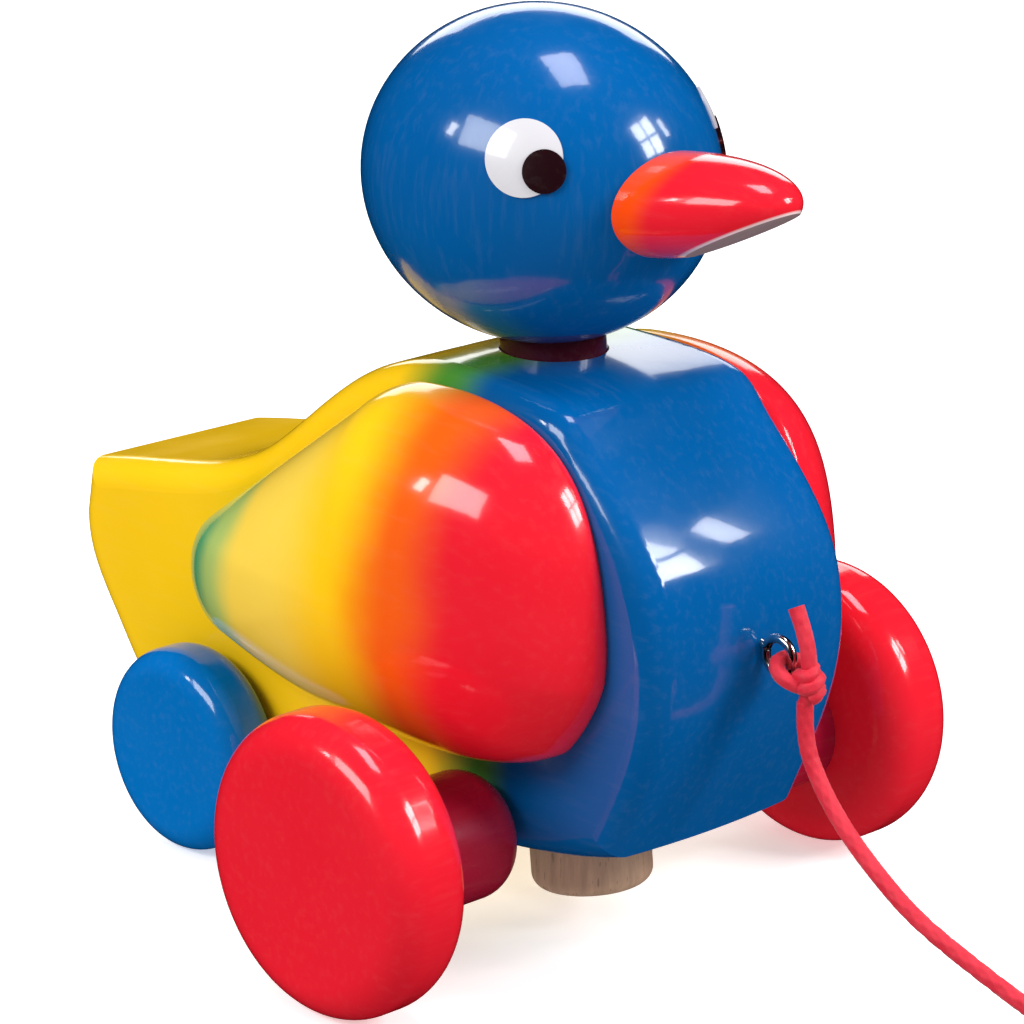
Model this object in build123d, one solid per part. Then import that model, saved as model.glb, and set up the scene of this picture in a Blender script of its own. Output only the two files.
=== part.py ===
from build123d import *
import os
from math import cos, hypot, pi, radians, sin, tan

# A wooden pull-along duck on four wheels.
# Millimetres. +X is forward (the beak), +Y is the duck's left, +Z is up and z = 0 is the floor.
# The origin is on the floor, half way between the rear of the tail and whichever reaches farther ahead,
# the tip of the beak or the ring of the screw eye.

# ---- driving dimensions -------------------------------------------------------------------------

# body: a thick plank sawn to a side outline, its long edges rounded over
body_thickness = 54.0
body_edge_radius = 6.0
tail_reach = 132.5            # rear of the tail behind the front axle
breast_reach = 45.8           # front of the breast ahead of the front axle
breast_crown = 2.0            # the breast is dressed back this much at its sides
crown_height = 116.5          # top of the body, where the neck leaves it
belly_height = 13.0           # lowest line of the belly above the floor

# wheels and axles
axle_d = 6.0
front_wheel_d = 60.0
front_wheel_width = 19.0
front_wheel_round = 7.5
front_track = 134.0           # between the middles of the two front wheels
front_wheel_offset = 3.0      # the front wheels are bored off centre, so the duck waddles
front_axle_inset = 13.5       # depth of the axle in each wheel
rear_wheel_d = 43.4
rear_wheel_width = 14.5
rear_wheel_round = 5.5
wheelbase = 83.0
rear_axle_inset = 11.0
hub_d = 26.0
hub_round = 7.0
hub_gap = 1.5                 # between a hub's inner end and the side of the body
washer_d = 14.0
washer_thickness = 1.0
washer_gap = 0.2              # on each side of a washer

# neck, cam and head: the neck leans back over the front axle
neck_lean = 7.0               # degrees
neck_behind = 1.5             # its line passes this far behind the axle's centre
stem_d = 12.0
cam_radius = 5.5
cam_throw = 1.5               # the cam's centre from the axle's: the head rises and falls by twice this
cam_width = 14.0
cam_gap = 0.3                 # between the cam's high point and the follower
lift_travel = 2 * cam_throw
lift_spare = 0.4              # room left above the follower at the top of its travel
follower_height = 13.0
neck_bore_d = 24.6            # the wide bore up from the belly, which the plug closes
plug_low = 7.6                # underside of the plug above the floor
plug_round = 3.0
plug_cheek_rise = 4.0         # the cheeks of the plug above the axle's centre
slot_gap = 0.8                # between the cam and each side of the plug's slot
collar_d = 21.0
collar_depth = 6.0            # of the pocket that the collar moves in
head_rise = 124.5             # middle of the head from the front axle, along the neck
head_length = 75.0
head_width = 66.0
stem_in_head = 26.0
stem_in_follower = 8.0
neck_screw_d = 3.5
neck_screw_length = 18.0      # under its head
neck_screw_head_d = 7.4
neck_screw_head_height = 2.4
screw_recess_depth = 3.0      # of the recess in the follower that hides the screw's head

# beak: an egg that points forward and a little up, cut flat below and seated on the head
beak_length = 33.0            # half lengths of the egg
beak_half_width = 14.0
beak_half_height = 10.0
beak_ahead = 34.5             # middle of the egg from the middle of the head
beak_above = 0.0
beak_tilt = 10.0
beak_cut_tilt = 27.0
beak_cut_drop = 8.4           # the flat cut from the middle of the egg, 8 mm ahead of it
beak_cut_ahead = 8.0
beak_dowel_d = 8.0
beak_dowel_depth = 14.0       # in the beak and in the head

# eyes: raised dots on the head, at a latitude and a longitude from straight ahead
eye_white_d = 14.8
eye_white_rise = 0.5
pupil_d = 8.3
pupil_rise = 0.8
eye_latitude = 18.4
eye_longitude = 52.7
pupil_latitude = 14.3
pupil_longitude = 46.0

# wings: half drops, fully domed, glued and dowelled to the sides
wing_thickness = 27.0
wing_tip_radius = 13.3
wing_dome_front = 48.0        # half lengths of the dome, ahead of its middle and behind it
wing_dome_rear = 77.0
wing_dome_half_height = 42.0
wing_dome_lean = 9.0
wing_dowel_d = 8.0
wing_dowel_depth = 9.0        # in the wing and in the body
wing_dowel_spacing = 42.0

# screw eye in the breast
eye_wire_d = 1.9
eye_ring_d = 8.8              # outside
eye_shank_length = 14.0
eye_height = 70.6
eye_tilt = 18.0               # the shank droops by this much
eye_stand_off = 0.6           # bare shank between the breast and the ring
eye_seat_back = 0.4           # the shank leaves the breast this far behind its foremost point

# pull cord
cord_d = 3.3
cord_loop_d = 7.4             # middle of the cord round the loop
cord_loop_ahead = 4.45        # middle of the loop from the middle of the ring
cord_loop_droop = 22.0
cord_knot_ahead = 8.6
knot_d = 6.6
knot_height = 8.0
cord_tail_length = 15.0
cord_tail_lean = 16.0
coil_d = 39.6
coil_hole_d = 26.0
coil_height = 2 * cord_d

# fits
running_gap = 0.05            # radial, on each axle and on the stem
sliding_gap = 0.08            # radial, on the follower
collar_gap = 0.3              # radial, on the collar in its pocket
screw_gap = 0.3               # radial, on the neck screw in the follower
glue_gap = 0.02               # radial, on each glued dowel

# ---- places worked out from them ----------------------------------------------------------------

beak_reach = (
    beak_ahead
    - head_rise * sin(radians(neck_lean))
    - neck_behind
    + hypot(beak_length * cos(radians(beak_tilt)), beak_half_height * sin(radians(beak_tilt)))
)
ring_reach = (
    breast_reach - eye_seat_back
    + (eye_stand_off + eye_ring_d / 2) * cos(radians(eye_tilt))
    + eye_ring_d / 2
)
front_axle_x = (tail_reach - max(beak_reach, ring_reach)) / 2
rear_axle_x = front_axle_x - wheelbase
front_axle_z = front_wheel_d / 2 - front_wheel_offset
rear_axle_z = rear_wheel_d / 2
body_side = body_thickness / 2
front_wheel_y = front_track / 2
front_wheel_inner = front_wheel_y - front_wheel_width / 2
rear_wheel_inner = body_side + washer_thickness + 2 * washer_gap
rear_wheel_y = rear_wheel_inner + rear_wheel_width / 2
stem_radius = stem_d / 2
axle_radius = axle_d / 2
neck_bore_radius = neck_bore_d / 2

# the neck's own frame: its z runs up the neck from the height of the front axle
neck = Plane(
    origin=(front_axle_x - neck_behind, 0, front_axle_z),
    x_dir=(cos(radians(neck_lean)), 0, sin(radians(neck_lean))),
    z_dir=(-sin(radians(neck_lean)), 0, cos(radians(neck_lean))),
)
cam_high = cam_radius + cam_throw
follower_low = cam_high + cam_gap
follower_top = follower_low + follower_height
neck_bore_top = follower_top + lift_travel + lift_spare
crown_rise = (crown_height - front_axle_z) / cos(radians(neck_lean))
collar_pocket_floor = crown_rise - collar_depth
collar_low = collar_pocket_floor + lift_travel + lift_spare
stem_low = follower_top - stem_in_follower
stem_top = head_rise - head_width / 2 + stem_in_head
head_x = front_axle_x - neck_behind - head_rise * sin(radians(neck_lean))
head_z = front_axle_z + head_rise * cos(radians(neck_lean))
beak_x = head_x + beak_ahead
beak_z = head_z + beak_above


# ---- helpers ------------------------------------------------------------------------------------


def along(x, z, y=0.0):
    """A place x mm ahead of the front axle and z mm above the floor."""
    return Vector(front_axle_x + x, y, z)


def round_bar(radius, low, high, frame):
    """A cylinder along a frame's z, from low to high."""
    bar = Cylinder(radius, high - low, align=(Align.CENTER, Align.CENTER, Align.MIN))
    return frame * Pos(0, 0, low) * bar


def cross_bar(x, z, radius, low_y, high_y):
    """A cylinder along Y at x and z, from low_y to high_y."""
    return round_bar(radius, low_y, high_y, Plane(origin=(x, 0, z), x_dir=(1, 0, 0), z_dir=(0, 1, 0)))


def ellipsoid(half_x, half_y, half_z):
    """An ellipsoid about the origin: an ellipse turned about X where it can be, or else a stretched ball."""
    if abs(half_y - half_z) > 1e-6:
        return scale(Sphere(1), (half_x, half_y, half_z))
    half = split(Ellipse(half_x, half_z), Plane.XZ, keep=Keep.TOP)
    return revolve(half, Axis.X, 360)


def mirrored(shape):
    """The same piece on the duck's left side."""
    return mirror(shape, Plane.XZ)


def turned_disc(radius, width, rounding):
    """A wheel blank along Z about the origin, both rims rounded over."""
    disc = Cylinder(radius, width)
    rims = disc.edges().filter_by(GeomType.CIRCLE)
    return fillet(rims, rounding)


# ---- outlines -----------------------------------------------------------------------------------


def body_outline(y=0.0):
    """The side outline at y: round breast, crown, sloping back, tail and long belly."""
    back_off = breast_crown * (y / body_side) ** 2
    reach = breast_reach - back_off
    chin = along(reach - 12.5, 28.5, y)
    crown = along(-14, crown_height - back_off / 4, y)
    saddle = along(-72, crown_height - 29, y)
    tail_tip = along(-tail_reach + 2, crown_height - 45, y)
    tail_rear = along(-tail_reach, crown_height - 56, y)
    rump = along(-104, belly_height + 5, y)
    under_axle = along(0, belly_height + 8.5, y)
    front = Spline(chin, along(reach, 66, y), along(reach - 4.4, 87, y),
                   along(reach - 22, 108 - back_off / 2, y), crown,
                   tangents=[(0.45, 0, 1), (-1, 0, 0)])
    back = Spline(crown, along(-45, crown_height - 9, y), saddle, tail_tip,
                  tangents=[(-1, 0, 0), (-1, 0, -0.22)])
    tip = Line(tail_tip, tail_rear)
    rear = Spline(tail_rear, along(-123, 38, y), rump, tangents=[(-0.05, 0, -1), (1, 0, -0.55)])
    under = Spline(rump, along(-62, belly_height, y), under_axle, chin, tangents=[(1, 0, -0.5), (1, 0, 0.35)])
    return make_face(Curve() + [front, back, tip, rear, under])


def wing_outline():
    """The side outline of a wing: a big round front, drawn out to a small round tip."""
    tip = Plane(origin=along(-71, 62.7), x_dir=(1, 0, 0), z_dir=(0, -1, 0)) * CenterArc((0, 0), wing_tip_radius, 115, 140)
    top = along(-18, 113.5)
    low = along(-8.5, 42)
    upper = Spline(tip @ 0, along(-42.2, 94.3), top, tangents=[-(tip % 0), (1, 0, 0.1)])
    nose = Spline(top, along(31.1, 81), low, tangents=[(1, 0, 0.1), (-1, 0, 0)])
    lower = Spline(low, along(-42, 42.8), tip @ 1, tangents=[(-1, 0, 0), -(tip % 1)])
    return make_face(Curve() + [upper, nose, lower, tip])


def wing_dowel_places():
    """Where the two dowels of a wing go."""
    middle = along(-20, 76)
    return [middle + Vector(-wing_dowel_spacing / 2, 0, -4), middle + Vector(wing_dowel_spacing / 2, 0, 4)]


# ---- the body and what is glued to it -----------------------------------------------------------


def make_body():
    plank = loft([body_outline(-body_side), body_outline(), body_outline(body_side)])
    long_edges = plank.edges().filter_by(lambda e: abs(abs(e.center().Y) - body_side) < 0.01)
    body = fillet(long_edges, body_edge_radius)
    body -= round_bar(neck_bore_radius, -60, neck_bore_top, neck)
    body -= round_bar(stem_radius + running_gap, 0, crown_rise + 20, neck)
    body -= round_bar(collar_d / 2 + collar_gap, collar_pocket_floor, crown_rise + 20, neck)
    for x, z in ((front_axle_x, front_axle_z), (rear_axle_x, rear_axle_z)):
        body -= cross_bar(x, z, axle_radius + running_gap, -body_thickness, body_thickness)
    for place in wing_dowel_places():
        for side in (-1, 1):
            low, high = sorted((side * (body_side - wing_dowel_depth), side * (body_side + 1)))
            body -= cross_bar(place.X, place.Z, wing_dowel_d / 2 + glue_gap, low, high)
    body -= eye_shank(0.0)
    return body


def wing_dome():
    """The dome of a wing's outer face: two half ellipsoids that share their middle section."""
    ahead = Box(300, 140, 200, align=(Align.MIN, Align.CENTER, Align.CENTER))
    front = scale(Sphere(1), (wing_dome_front, wing_thickness, wing_dome_half_height)) & ahead
    rear = scale(Sphere(1), (wing_dome_rear, wing_thickness, wing_dome_half_height)) - ahead
    dome = Rotation(0, -wing_dome_lean, 0) * (front + rear)
    return Pos(*along(-14, 75, -body_side)) * dome


def make_right_wing():
    slab = extrude(wing_outline(), wing_thickness, dir=(0, -1, 0))
    slab = Pos(0, -body_side, 0) * slab
    wing = (slab & wing_dome()).solids().sort_by(SortBy.VOLUME)[-1]
    for place in wing_dowel_places():
        low = -body_side - wing_dowel_depth
        wing -= cross_bar(place.X, place.Z, wing_dowel_d / 2 + glue_gap, low, -body_side + 1)
    return wing


def make_right_wing_dowels():
    low = -body_side - wing_dowel_depth
    high = -body_side + wing_dowel_depth
    return [cross_bar(p.X, p.Z, wing_dowel_d / 2, low, high) for p in wing_dowel_places()]


def make_belly_plug():
    """The plug that closes the neck's bore: it is slotted for the cam and the axle runs through it."""
    low = -(front_axle_z - plug_low) / cos(radians(neck_lean))
    plug = round_bar(neck_bore_radius, low, plug_cheek_rise, neck)
    foot = plug.edges().filter_by(GeomType.CIRCLE).sort_by(Axis.Z)[0]
    plug = fillet(foot, plug_round)
    slot_width = cam_width + 2 * slot_gap
    slot_low = cam_high + slot_gap
    slot = Box(neck_bore_d + 2, slot_width, slot_low + plug_cheek_rise + 1,
               align=(Align.CENTER, Align.CENTER, Align.MIN))
    plug -= neck * Pos(0, 0, -slot_low) * slot
    return plug - cross_bar(front_axle_x, front_axle_z, axle_radius + running_gap, -40, 40)


# ---- the front axle with its wheels -------------------------------------------------------------


def make_front_axle():
    end = front_wheel_inner + front_axle_inset
    return cross_bar(front_axle_x, front_axle_z, axle_radius, -end, end)


def make_cam():
    cam = cross_bar(front_axle_x, front_axle_z, cam_radius, -cam_width / 2, cam_width / 2)
    cam = Pos(-cam_throw * sin(radians(neck_lean)), 0, cam_throw * cos(radians(neck_lean))) * cam
    return cam - cross_bar(front_axle_x, front_axle_z, axle_radius, -cam_width, cam_width)


def make_right_front_wheel():
    """Bored off centre: at rest the axle is below the middle of the wheel."""
    facing = Plane(origin=(front_axle_x, -front_wheel_y, front_wheel_d / 2), x_dir=(1, 0, 0), z_dir=(0, -1, 0))
    wheel = facing * turned_disc(front_wheel_d / 2, front_wheel_width, front_wheel_round)
    end = front_wheel_inner + front_axle_inset
    return wheel - cross_bar(front_axle_x, front_axle_z, axle_radius, -end, 0)


def make_right_hub():
    """The red spacer between a front wheel and the body: its inner end is rounded over."""
    inner = -(body_side + hub_gap)
    hub = cross_bar(front_axle_x, front_axle_z, hub_d / 2, -front_wheel_inner, inner)
    nose = hub.edges().filter_by(GeomType.CIRCLE).sort_by(Axis.Y)[-1]
    hub = fillet(nose, hub_round)
    return hub - cross_bar(front_axle_x, front_axle_z, axle_radius, -front_wheel_inner - 1, 0)


# ---- the rear axle with its wheels --------------------------------------------------------------


def make_rear_axle():
    end = rear_wheel_inner + rear_axle_inset
    return cross_bar(rear_axle_x, rear_axle_z, axle_radius, -end, end)


def make_right_rear_wheel():
    facing = Plane(origin=(rear_axle_x, -rear_wheel_y, rear_axle_z), x_dir=(1, 0, 0), z_dir=(0, -1, 0))
    wheel = facing * turned_disc(rear_wheel_d / 2, rear_wheel_width, rear_wheel_round)
    end = rear_wheel_inner + rear_axle_inset
    return wheel - cross_bar(rear_axle_x, rear_axle_z, axle_radius, -end, 0)


def make_right_washer():
    outer = -(body_side + washer_gap + washer_thickness)
    washer = cross_bar(rear_axle_x, rear_axle_z, washer_d / 2, outer, -(body_side + washer_gap))
    return washer - cross_bar(rear_axle_x, rear_axle_z, axle_radius, outer - 1, 0)


# ---- neck and head ------------------------------------------------------------------------------


def head_egg(grow=0.0):
    """The head's outer shape, grown by a few tenths of a millimetre where a dot lies on it."""
    egg = ellipsoid(head_length / 2 + grow, head_width / 2 + grow, head_width / 2 + grow)
    return Pos(head_x, 0, head_z) * egg


def make_cam_follower():
    """Rides on the cam. The stem turns in its socket, and the screw from below holds it there."""
    follower = round_bar(neck_bore_radius - sliding_gap, follower_low, follower_top, neck)
    follower -= round_bar(stem_radius + running_gap, stem_low, follower_top + 1, neck)
    follower -= round_bar(neck_screw_d / 2 + screw_gap, follower_low - 1, follower_top, neck)
    recess_radius = neck_screw_head_d / 2 + screw_gap
    return follower - round_bar(recess_radius, follower_low - 1, follower_low + screw_recess_depth, neck)


def neck_screw_shank():
    seat = follower_low + screw_recess_depth
    return round_bar(neck_screw_d / 2, seat, seat + neck_screw_length, neck)


def make_neck_screw():
    """The round screw that holds the stem in the follower and lets it turn."""
    seat = follower_low + screw_recess_depth
    head = round_bar(neck_screw_head_d / 2, seat - neck_screw_head_height, seat, neck)
    return head + neck_screw_shank()


def make_neck_stem():
    return round_bar(stem_radius, stem_low, stem_top, neck) - neck_screw_shank()


def make_neck_collar():
    collar = round_bar(collar_d / 2, collar_low, head_rise - head_width / 2 + 5, neck) - head_egg()
    collar = collar.solids().sort_by(Axis.Z)[0]
    return collar - round_bar(stem_radius, 0, stem_top, neck)


def beak_frame():
    tilt = radians(beak_tilt)
    return Plane(origin=(beak_x, 0, beak_z), x_dir=(cos(tilt), 0, sin(tilt)), z_dir=(-sin(tilt), 0, cos(tilt)))


def beak_dowel_bar(radius):
    """A bar along the beak's middle, as deep in the head as in the beak."""
    seat = head_length / 2 - beak_ahead
    bar = Cylinder(radius, 2 * beak_dowel_depth)
    return beak_frame() * Pos(seat, 0, 0) * Rotation(0, 90, 0) * bar


def make_beak_dowel():
    return beak_dowel_bar(beak_dowel_d / 2)


def make_head():
    head = head_egg()
    head -= round_bar(stem_radius, 0, stem_top, neck)
    return head - beak_dowel_bar(beak_dowel_d / 2 + glue_gap)


def make_beak():
    egg = beak_frame() * ellipsoid(beak_length, beak_half_width, beak_half_height)
    cut = Box(200, 80, 60, align=(Align.CENTER, Align.CENTER, Align.MAX))
    cut = Pos(beak_x + beak_cut_ahead, 0, beak_z - beak_cut_drop) * Rotation(0, -beak_cut_tilt, 0) * cut
    beak = egg - cut - head_egg()
    beak = beak.solids().sort_by(Axis.X)[-1]
    return beak - beak_dowel_bar(beak_dowel_d / 2 + glue_gap)


def dot_bar(latitude, longitude, radius):
    """A bar through the head's surface, square to it, on the duck's right."""
    lat = radians(latitude)
    lon = radians(longitude)
    half_long = head_length / 2
    half_wide = head_width / 2
    spot = Vector(half_long * cos(lat) * cos(lon), -half_wide * cos(lat) * sin(lon), half_wide * sin(lat))
    out = Vector(spot.X / half_long**2, spot.Y / half_wide**2, spot.Z / half_wide**2)
    return Plane(origin=spot + Vector(head_x, 0, head_z), z_dir=out) * Cylinder(radius, 12)


def make_right_eye():
    return head_egg(eye_white_rise) & dot_bar(eye_latitude, eye_longitude, eye_white_d / 2) - head_egg()


def make_right_pupil():
    pupil = head_egg(pupil_rise) & dot_bar(pupil_latitude, pupil_longitude, pupil_d / 2)
    return pupil - head_egg() - make_right_eye()


# ---- screw eye and cord -------------------------------------------------------------------------


def eye_frame():
    """At the breast, its x along the shank and out of the body."""
    tilt = radians(eye_tilt)
    return Plane(origin=along(breast_reach - eye_seat_back, eye_height), x_dir=(cos(tilt), 0, -sin(tilt)), z_dir=(sin(tilt), 0, cos(tilt)))


def eye_ring_middle():
    return eye_frame().from_local_coords(Vector(eye_stand_off + eye_ring_d / 2, 0, 0))


def eye_shank(gap):
    bar = Cylinder(eye_wire_d / 2 + gap, eye_shank_length + eye_stand_off + eye_wire_d / 2,
                   align=(Align.CENTER, Align.CENTER, Align.MIN))
    return eye_frame() * Pos(-eye_shank_length, 0, 0) * Rotation(0, 90, 0) * bar


def make_screw_eye():
    ring = Torus((eye_ring_d - eye_wire_d) / 2, eye_wire_d / 2)
    ring = Pos(*eye_ring_middle()) * Rotation(90, 0, 0) * ring
    return ring + eye_shank(0.0)


def cord_direction():
    """The way the loop hangs from the ring: forward and down."""
    droop = radians(cord_loop_droop)
    return Vector(cos(droop), 0, -sin(droop))


def knot_middle():
    return eye_ring_middle() + cord_direction() * cord_knot_ahead


def make_cord_loop():
    """The cord's loop through the ring, the knot that closes it and the short cut end above the knot."""
    away = cord_direction()
    middle = eye_ring_middle() + away * cord_loop_ahead
    loop = Plane(origin=middle, x_dir=away, z_dir=away.cross(Vector(0, 1, 0))) * Torus(cord_loop_d / 2, cord_d / 2)
    knot = Pos(*knot_middle()) * ellipsoid(knot_d / 2, knot_d / 2, knot_height / 2)
    lean = radians(cord_tail_lean)
    upright = Plane(origin=knot_middle(), z_dir=(-sin(lean), 0, cos(lean)))
    return loop + knot + round_bar(cord_d / 2, 0, cord_tail_length, upright)


def coil_middle():
    return along(180, 0, 33)


def make_cord_coil():
    """The outer shape of the unseen length, coiled flat on the floor."""
    coil = Cylinder(coil_d / 2, coil_height, align=(Align.CENTER, Align.CENTER, Align.MIN))
    coil -= Cylinder(coil_hole_d / 2, 3 * coil_height)
    return Pos(*coil_middle()) * coil


def make_cord_end_knot():
    """The knot in the cord's far end, against the coil."""
    knot = ellipsoid(knot_height / 2, knot_d / 2, knot_d / 2)
    return Pos(*(coil_middle() + Vector(0, (coil_d + knot_d) / 2, knot_d / 2))) * knot


def cord_route():
    """The cord from its knot to the coil, point by point."""
    return [
        along(57.2, 62.0),
        along(57.0, 54.4),
        along(61.5, 46.0, 0.3),
        along(68.7, 39.4, -0.4),
        along(77.4, 33.2, -0.6),
        along(87.6, 27.6, -1.0),
        along(99.9, 21.8, 1.0),
        along(113.5, 15.2, 4.4),
        along(128.0, 8.3, 8.4),
        along(143.0, 3.4, 11.4),
        along(158.0, cord_d / 2, 11.0),
        along(171.5, cord_d / 2, 12.6),
        along(184.6, cord_d / 2, 15.6),
    ]


def corner_radii(points):
    """The largest radius that 0.45 of the shorter run allows at each corner."""
    radii = []
    for before, corner, after in zip(points, points[1:], points[2:]):
        arriving = corner - before
        leaving = after - corner
        half_turn = radians(arriving.get_angle(leaving)) / 2
        radii.append(0.45 * min(arriving.length, leaving.length) / tan(half_turn))
    return radii


def make_pull_cord():
    points = cord_route()
    radii = corner_radii(points)
    print("cord radii", [round(radius, 1) for radius in radii])
    path = FilletPolyline(*points, radius=radii)
    section = Plane(origin=path @ 0, z_dir=path % 0) * Circle(cord_d / 2)
    tube = sweep(section, path=path)
    print("cord tube", round(path.length, 1), "mm, volume over section times length", round(
        tube.volume / (path.length * pi * cord_d**2 / 4), 4))
    return tube - make_cord_loop() - make_cord_coil()


# ---- the nodes ----------------------------------------------------------------------------------

CENTRE_NODES = {
    "body": make_body,
    "belly_plug": make_belly_plug,
    "front_axle": make_front_axle,
    "cam": make_cam,
    "rear_axle": make_rear_axle,
    "cam_follower": make_cam_follower,
    "neck_stem": make_neck_stem,
    "neck_screw": make_neck_screw,
    "neck_collar": make_neck_collar,
    "head": make_head,
    "beak": make_beak,
    "beak_dowel": make_beak_dowel,
    "screw_eye": make_screw_eye,
    "cord_loop": make_cord_loop,
    "pull_cord": make_pull_cord,
    "cord_coil": make_cord_coil,
    "cord_end_knot": make_cord_end_knot,
}
PAIRED_NODES = {
    "wing": make_right_wing,
    "wing_dowels": make_right_wing_dowels,
    "front_wheel": make_right_front_wheel,
    "hub": make_right_hub,
    "rear_wheel": make_right_rear_wheel,
    "washer": make_right_washer,
    "eye": make_right_eye,
    "pupil": make_right_pupil,
}


def write(name, shape):
    os.makedirs("parts", exist_ok=True)
    solids = shape if isinstance(shape, list) else [shape]
    solids = [solid for piece in solids for solid in piece.solids()]
    export_step(solids[0] if len(solids) == 1 else Compound(children=solids), f"parts/{name}.step")


for name, make in CENTRE_NODES.items():
    write(name, make())
for name, make in PAIRED_NODES.items():
    right = make()
    pieces = right if isinstance(right, list) else [right]
    write("right_" + name, pieces)
    write("left_" + name, [mirrored(piece) for piece in pieces])
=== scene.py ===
"""Finishes and fine shapes of a wooden pull-along duck.

The solid frame gives every place and size. This add-on paints the frame's parts, replaces the soft and the
finely shaped ones with smooth surfaces, and sets up a plain studio. Lengths are in metres, +X is forward,
+Y is the duck's left and +Z is up from the floor.
"""

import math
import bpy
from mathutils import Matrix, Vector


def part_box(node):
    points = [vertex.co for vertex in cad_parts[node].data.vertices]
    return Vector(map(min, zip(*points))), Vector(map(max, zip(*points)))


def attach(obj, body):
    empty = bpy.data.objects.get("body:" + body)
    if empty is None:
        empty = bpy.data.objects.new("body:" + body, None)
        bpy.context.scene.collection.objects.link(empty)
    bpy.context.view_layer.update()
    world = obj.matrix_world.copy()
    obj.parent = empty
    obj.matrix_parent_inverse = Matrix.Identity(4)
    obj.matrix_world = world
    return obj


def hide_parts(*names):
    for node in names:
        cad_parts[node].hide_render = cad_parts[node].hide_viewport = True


bl_info = {
    "name": "Pull-Along Duck Maker",
    "version": (1, 0, 0),
    "blender": (4, 5, 0),
    "location": "3D View > Sidebar > Duck",
    "description": "Builds a lacquered wooden pull-along duck with its cord on a fixed frame",
    "category": "Add Mesh",
}

import bmesh
import bpy
import numpy as np
from mathutils import Matrix, Vector

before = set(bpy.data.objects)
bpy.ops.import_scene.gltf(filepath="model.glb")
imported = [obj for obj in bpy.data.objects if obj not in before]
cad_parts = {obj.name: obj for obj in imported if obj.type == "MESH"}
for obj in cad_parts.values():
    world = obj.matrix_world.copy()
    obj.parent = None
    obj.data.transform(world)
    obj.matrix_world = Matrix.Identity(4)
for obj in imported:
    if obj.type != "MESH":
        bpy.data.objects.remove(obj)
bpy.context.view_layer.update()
MM = 0.001


# ---- places read from the frame -----------------------------------------------------------------


def middle_of(node):
    """The middle of a node's box."""
    low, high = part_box(node)
    return (low + high) / 2


def across_of(node):
    """The sizes of a node's box along X, Y and Z."""
    low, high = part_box(node)
    return high - low


FRONT_AXLE = middle_of("front_axle")
BODY_SIDE = across_of("body").y / 2


# ---- settings -----------------------------------------------------------------------------------


def colour_setting(name, description, default):
    """A colour picker with a default in linear light."""
    return bpy.props.FloatVectorProperty(
        name=name, description=description, default=default, size=3, min=0.0, max=1.0, subtype="COLOR"
    )


def length_setting(name, description, default, low=0.0, high=1.0):
    """A length in metres."""
    return bpy.props.FloatProperty(
        name=name, description=description, default=default, min=low, max=high,
        subtype="DISTANCE", unit="LENGTH", precision=4
    )


class DuckColours(bpy.types.PropertyGroup):
    """Paints and bare materials of the duck."""

    blue: colour_setting("Blue", "Lacquer of the head and the breast", (0.0, 0.098, 0.33))
    wheel_blue: colour_setting("Wheel blue", "Lacquer of the rear wheels", (0.0, 0.155, 0.50))
    red: colour_setting(
        "Red", "Lacquer of the front wheels and the front of the wings", (0.83, 0.012, 0.028)
    )
    yellow: colour_setting(
        "Yellow", "Lacquer of the back, the tail and the middle of the wings", (1.0, 0.60, 0.008)
    )
    pale_yellow: colour_setting(
        "Pale yellow", "The thin yellow coat near the wing tips", (0.97, 0.66, 0.075)
    )
    green: colour_setting("Green", "Where blue was sprayed over yellow", (0.07, 0.28, 0.03))
    leaf: colour_setting("Leaf green", "Where teal fades into yellow on the wings", (0.42, 0.56, 0.15))
    teal: colour_setting("Teal", "Tips of the wings", (0.045, 0.36, 0.17))
    orange: colour_setting("Orange", "The fade between yellow and red on the wings", (0.90, 0.115, 0.006))
    beak_root: colour_setting("Beak root", "Orange at the root of the beak", (0.95, 0.072, 0.004))
    # The pale pink under the beak is a painted reflection of the floor on the red lacquer of the flat.
    beak_under_painted_reflection: colour_setting("Beak underside", "The pale flat under the beak", (0.93, 0.68, 0.68))
    hub: colour_setting("Hub red", "Stained hubs between the wheels and the body", (0.36, 0.005, 0.030))
    # The collar is red lacquer; this colour is made nearly black as painted shade under the head.
    collar_maroon_and_painted_shade: colour_setting("Collar", "The dark collar under the head", (0.05, 0.004, 0.012))
    white: colour_setting("Eye white", "White dots of the eyes", (0.66, 0.65, 0.68))
    dark: colour_setting("Pupil", "Dark dots of the eyes", (0.016, 0.003, 0.005))
    beech: colour_setting("Beech", "Bare wood of the plug, the axles and the dowels", (0.60, 0.37, 0.24))
    cord: colour_setting("Cord", "Dyed braid of the pull cord", (0.74, 0.006, 0.032))


class DuckCord(bpy.types.PropertyGroup):
    """Sizes of the pull cord."""

    thickness: length_setting("Thickness", "Diameter of the braided cord", 3.3 * MM, 0.001, 0.01)
    real_length: length_setting(
        "Length", "Length of the cord from its knot to its far end", 0.515, 0.1, 2.0
    )
    plaits: bpy.props.IntProperty(
        name="Plaits", description="Yarns that wind each way round the braid", default=6, min=2, max=12
    )
    plait_pitch: length_setting("Plait pitch", "Length of one turn of a yarn", 9.0 * MM, 0.002, 0.05)
    plait_relief: length_setting(
        "Plait relief", "Depth of the grooves between the yarns", 0.28 * MM, 0.0, 0.002
    )


class DuckWings(bpy.types.PropertyGroup):
    """Shape of the wings."""

    middle_behind: length_setting(
        "Middle", "How far the middle of the dome lies behind the front axle", 14.0 * MM
    )
    middle_rise: length_setting("Middle height", "Height of the middle of the dome", 75.0 * MM)
    foot: length_setting("Foot", "Height of the rim's upright foot", 1.4 * MM)
    shadow_gap: length_setting("Shadow gap", "How far the foot of the rim draws back at the body", 0.9 * MM)
    fullness: bpy.props.FloatProperty(
        name="Fullness", description="2 is a half ellipse in section, and more is boxier", default=2.15,
        min=1.5, max=4.0
    )


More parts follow.
